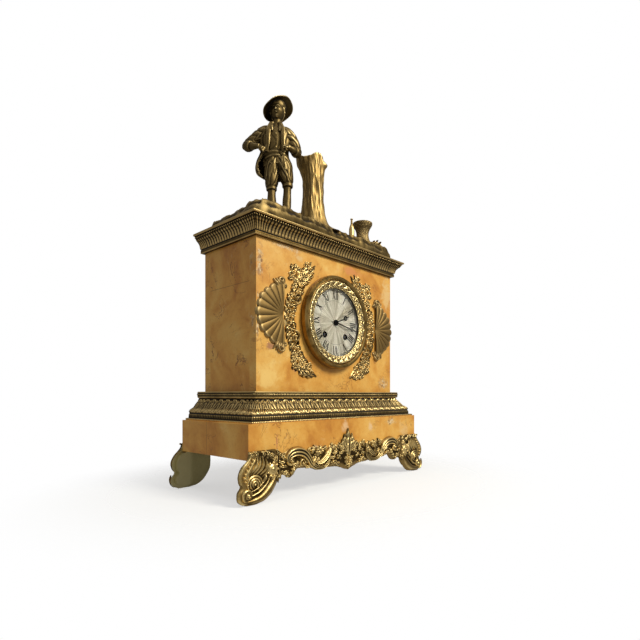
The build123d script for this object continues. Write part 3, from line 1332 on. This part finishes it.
def make_minute_wheel():
    """The minute wheel and its pinion on a stud."""
    x, z = MINUTE_ARBOR
    body = wheel(MINUTE_ARBOR, MINUTE_TEETH, MOTION_MODULE, MINUTE_PHASE, MOTION_BACK_Y)
    body = body + pinion(MINUTE_ARBOR, MINUTE_PINION_TEETH, HOUR_MODULE, 0, MOTION_FRONT_Y)
    body = body + rod(x, z, ARBOR_R + RUN + BARREL_WALL / 2, MOTION_FRONT_Y, MOTION_BACK_Y + WHEEL_THICK)
    return body - rod(x, z, ARBOR_R + RUN, MOTION_FRONT_Y - CUT_OVERRUN, FRONT_PLATE_Y)


def make_hour_wheel():
    """The hour wheel and its pipe round the cannon pinion."""
    body = wheel(CENTRE, HOUR_TEETH, HOUR_MODULE, HOUR_PHASE, MOTION_FRONT_Y, crossed=False)
    body = body + rod(0, 0, HOUR_PIPE_R, HOUR_HAND_Y + HAND_THICK, MOTION_FRONT_Y + WHEEL_THICK)
    return body - rod(0, 0, CANNON_PIPE_R + RUN, HOUR_HAND_Y - CUT_OVERRUN, MOTION_BACK_Y)


def make_hand(length, moon_at, moon_r, degrees, y, hole_r):
    """A slim hand with an open ring near its tip."""
    half = HAND_W / 2
    tip = HAND_TIP_W / 2
    blade = plate_xz([(-half, 0), (half, 0), (tip, length), (-tip, length)], y, y + HAND_THICK)
    blade = blade + Pos(0, y + HAND_THICK / 2, moon_at) * Rot(90, 0, 0) * Cylinder(moon_r, HAND_THICK)
    blade = blade - Pos(0, y, moon_at) * Rot(90, 0, 0) * Cylinder(moon_r * MOON_HOLE_SHARE, 2 * CUT_OVERRUN)
    blade = blade + Pos(0, y + HAND_THICK / 2, 0) * Rot(90, 0, 0) * Cylinder(HAND_HUB_R, HAND_THICK)
    hand = Pos(0, 0, DIAL_Z) * Rot(0, degrees, 0) * blade
    return hand - rod(0, 0, hole_r, y - CUT_OVERRUN, y + HAND_THICK + CUT_OVERRUN)


def make_hour_hand():
    """The shorter hand, on the hour wheel's pipe."""
    return make_hand(HOUR_HAND_LEN, HOUR_MOON_AT, HOUR_MOON_R, HOUR_HAND_DEG, HOUR_HAND_Y,
                     CANNON_PIPE_R + RUN)


def make_minute_hand():
    """The longer hand, with the domed cap that holds it."""
    hand = make_hand(MINUTE_HAND_LEN, MINUTE_MOON_AT, MINUTE_MOON_R, MINUTE_HAND_DEG, MINUTE_HAND_Y,
                     CENTRE_ARBOR_R)
    cap = rod(0, 0, CAP_R, MINUTE_HAND_Y - CAP_H, MINUTE_HAND_Y)
    return hand + cap


# Striking train


def make_strike_second():
    """The strike train's second wheel, with the count wheel on its arbor behind the back plate."""
    body = make_second(SECOND_STRIKE, STRIKE_PINION_PHASE)
    x, z = SECOND_STRIKE
    body = body + rod(x, z, PIVOT_R, BACK_PLATE_END, COUNT_Y + WHEEL_THICK)
    points = []
    for notch in range(COUNT_NOTCHES):
        at = notch * 360 / COUNT_NOTCHES
        span = 360 / COUNT_NOTCHES
        for out, share in COUNT_NOTCH_SHARES:
            px, pz = polar(COUNT_R - WHEEL_THICK + out * WHEEL_THICK, at + share * span)
            points.append((x + px, DIAL_Z + z + pz))
    return body + plate_xz(points, COUNT_Y, COUNT_Y + WHEEL_THICK)


def make_pin_wheel():
    """The pin wheel, whose pins lift the hammer's tail."""
    body = plain_arbor(PIN_WHEEL)
    body = body + pinion(PIN_WHEEL, PIN_PINION_TEETH, SECOND_MODULE, PIN_PINION_PHASE, LEVEL_B_Y)
    body = body + wheel(PIN_WHEEL, PIN_TEETH, PIN_MODULE, 0, LEVEL_C_Y, crossed=False)
    for pin in range(PIN_COUNT):
        px, pz = polar(STRIKE_PIN_AT_R, pin * 360 / PIN_COUNT)
        place = (PIN_WHEEL[0] + px, PIN_WHEEL[1] + pz)
        body = body + rod(*place, STRIKE_PIN_R, LEVEL_C_Y + WHEEL_THICK, LEVEL_C_Y + 2 * WHEEL_THICK)
    return body


def make_locking_wheel():
    """The locking wheel and its pinion."""
    body = plain_arbor(LOCK) + pinion(LOCK, LOCK_PINION_TEETH, PIN_MODULE, LOCK_PINION_PHASE, LEVEL_C_Y)
    return body + wheel(LOCK, LOCK_TEETH, LOCK_MODULE, 0, LEVEL_B_Y)


def make_fly():
    """The air brake: a flat vane on the last arbor."""
    x, z = FLY
    body = plain_arbor(FLY) + pinion(FLY, FLY_PINION_TEETH, LOCK_MODULE, FLY_PINION_PHASE, LEVEL_B_Y)
    half = FLY_THICK / 2
    low = DIAL_Z + z - FLY_HALF_W
    return body + box(x - half, x + half, FLY_FRONT_Y, FLY_BACK_Y, low, low + 2 * FLY_HALF_W)


# Anchor, pendulum and hammer


def make_anchor():
    """The pallets on their arbor, and the crutch behind the back plate whose fork takes the pendulum rod."""
    x, z = ANCHOR
    body = rod(x, z, ARBOR_R, PLATE_BACK_Y + FLAT_GAP, COCK_FRONT_Y + COCK_THICK)
    body = body + rod(x, z, PIVOT_R, FRONT_PLATE_Y, PLATE_BACK_Y + FLAT_GAP)
    body = body + rod(x, z, ANCHOR_HUB_R, ESCAPE_Y, ESCAPE_Y + WHEEL_THICK)
    reach = ESCAPE_R + PALLET_GAP
    half = ANCHOR_ARM_W / 2
    for side in (-1, 1):
        tip = (side * reach * math.sin(math.radians(ANCHOR_SPREAD_DEG)),
               ESCAPE[1] + reach * math.cos(math.radians(ANCHOR_SPREAD_DEG)) + half)
        far = tip[0] + side * half
        points = [(x, z - half), (x, z + half), (far, tip[1] + half), (far, tip[1]), tip]
        arm = plate_xz(points, ESCAPE_Y, ESCAPE_Y + WHEEL_THICK)
        body = body + Pos(0, 0, DIAL_Z) * arm
    arm_y = COCK_FRONT_Y - FLAT_GAP - CRUTCH_W
    low = DIAL_Z + z - CRUTCH_LEN
    half = CRUTCH_W / 2
    crutch = box(-half, half, arm_y, arm_y + CRUTCH_W, low, DIAL_Z + z)
    inner = PEND_ROD_R + CRUTCH_FORK_GAP
    fork_end = PEND_Y + PEND_ROD_R + CRUTCH_W
    fork = box(-inner - CRUTCH_W, inner + CRUTCH_W, arm_y, fork_end, low - CRUTCH_W, low)
    fork = fork - box(-inner, inner, PEND_Y - inner, fork_end + CUT_OVERRUN,
                      low - 2 * CRUTCH_W, low + CRUTCH_W)
    return body + crutch + fork


def make_pendulum_rod():
    """The rod with the eye that hangs on the cock's pin, and the rating nut."""
    top = DIAL_Z + PEND_UP
    end = top - PEND_LEN - BOB_R - NUT_H
    deep = PEND_ROD_R + FLAT_GAP
    eye = rod(0, PEND_UP, PEND_EYE_R, PEND_Y - deep, PEND_Y + deep)
    stem = upright(0, PEND_Y, PEND_ROD_R, end - NUT_H, top)
    nut = upright(0, PEND_Y, NUT_R, end, end + NUT_H)
    body = eye + stem - rod(0, PEND_UP, PEND_PIN_R + RUN, PEND_Y - PEND_EYE_R, PEND_Y + PEND_EYE_R)
    return body + nut


def make_bob():
    """A lens-shaped bob that slides on the rod."""
    z = PEND_UP - PEND_LEN
    half = BOB_THICK / 2
    edge = BOB_EDGE / 2
    shoulder = half * BOB_SHOULDER_SHARE
    profile = [(0, PEND_Y - half), (BOB_R / 2, PEND_Y - shoulder), (BOB_R, PEND_Y - edge),
               (BOB_R, PEND_Y + edge), (BOB_R / 2, PEND_Y + shoulder), (0, PEND_Y + half)]
    bob = turned(profile, 0, z)
    low = DIAL_Z + z - BOB_R - CUT_OVERRUN
    return bob - upright(0, PEND_Y, PEND_ROD_R + RUN, low, DIAL_Z + z + BOB_R + CUT_OVERRUN)


def make_hammer():
    """The hammer's arbor, its tail at the pin wheel and its head beside the bell's rim."""
    x, z = HAMMER
    body = rod(x, z, ARBOR_R, PLATE_BACK_Y + FLAT_GAP, HAMMER_ARM_Y + HAMMER_ARM_W)
    body = body + rod(x, z, PIVOT_R, FRONT_PLATE_Y, PLATE_BACK_Y + FLAT_GAP)
    tail_y = LEVEL_C_Y + WHEEL_THICK + FLAT_GAP
    toward = heading(HAMMER, PIN_WHEEL)
    half = HAMMER_TAIL_W / 2
    tail_end = math.dist(HAMMER, PIN_WHEEL) - STRIKE_PIN_AT_R - STRIKE_PIN_R - FLAT_GAP
    tail = box(0, tail_end, tail_y, tail_y + WHEEL_THICK - FLAT_GAP, -half, half)
    body = body + Pos(x, 0, DIAL_Z + z) * Rot(0, -toward, 0) * tail
    hit_r = BELL_R + HAMMER_GAP + HAMMER_HEAD_R
    hx, hz = polar(hit_r, HAMMER_HEAD_DEG)
    head_at = (hx, hz - BELL_DOWN)
    reach = math.dist(HAMMER, head_at)
    down = heading(HAMMER, head_at)
    half = HAMMER_ARM_W / 2
    arm = box(0, reach, HAMMER_ARM_Y, HAMMER_ARM_Y + HAMMER_ARM_W, -half, half)
    body = body + Pos(x, 0, DIAL_Z + z) * Rot(0, -down, 0) * arm
    front = HAMMER_ARM_Y + HAMMER_ARM_W / 2 - HAMMER_HEAD_LEN / 2
    return body + rod(*head_at, HAMMER_HEAD_R, front, front + HAMMER_HEAD_LEN)


def all_nodes():
    """Every piece by name. A value is a solid, or a list of solids."""
    foot = make_foot()
    rear = foot.mirror(Plane.XZ)
    mount = make_shell_mount()
    nodes = {
        "plinth_core": make_plinth_core(),
        "plinth_slabs": make_plinth_slabs(),
        "case_front_slab": make_case_front(),
        "case_side_slabs": make_case_sides(),
        "case_back_slab": make_case_back(),
        "case_boards": make_case_boards(),
        "lower_moulding": make_lower_moulding(),
        "cornice_moulding": make_cornice(),
        "terrain_base": make_terrain(),
        "bottle": make_bottle(),
        "straw_basket": make_basket(),
        "curled_branch": make_branch(),
        "front_foot_left": foot,
        "front_foot_right": mirrored(foot),
        "rear_foot_left": rear,
        "rear_foot_right": mirrored(rear),
        "front_apron": make_apron(),
        "shell_mount_left": mount,
        "shell_mount_right": mirrored(mount),
        "dial_seat_ring": make_seat(),
        "dial_plate": make_dial(),
        "bezel_ring": make_bezel(),
        "foliate_ring": make_foliate(),
        "dial_glass": make_glass(),
        "movement_front_plate": make_front_plate(),
        "movement_back_plate": make_back_plate(),
        "movement_fixings": make_pillars() + make_screws(),
        "movement_straps": make_straps(),
        "rear_ring": make_rear_ring(),
        "rear_door": make_rear_door(),
        "suspension_cock": make_cock(),
        "bell_stand": make_bell_stand(),
        "bell": make_bell(),
        "going_barrel": make_barrel(GOING),
        "going_winding_arbor": make_winding_arbor(GOING),
        "going_second_wheel": make_second(SECOND, SECOND_PINION_PHASE),
        "centre_wheel": make_centre(),
        "third_wheel": make_third(),
        "escape_wheel": make_escape(),
        "cannon_pinion": make_cannon(),
        "minute_hand": make_minute_hand(),
        "minute_wheel": make_minute_wheel(),
        "hour_wheel": make_hour_wheel(),
        "hour_hand": make_hour_hand(),
        "strike_barrel": make_barrel(STRIKE),
        "strike_winding_arbor": make_winding_arbor(STRIKE),
        "strike_second_wheel": make_strike_second(),
        "pin_wheel": make_pin_wheel(),
        "locking_wheel": make_locking_wheel(),
        "fly": make_fly(),
        "pallet_anchor": make_anchor(),
        "pendulum_rod": make_pendulum_rod(),
        "pendulum_bob": make_bob(),
        "hammer": make_hammer(),
    }
    nodes.update(make_figure())
    return nodes


os.makedirs("parts", exist_ok=True)
for name, shape in all_nodes().items():
    solids = shape if isinstance(shape, list) else shape.solids()
    export_step(Compound(children=list(solids)), f"parts/{name}.step")
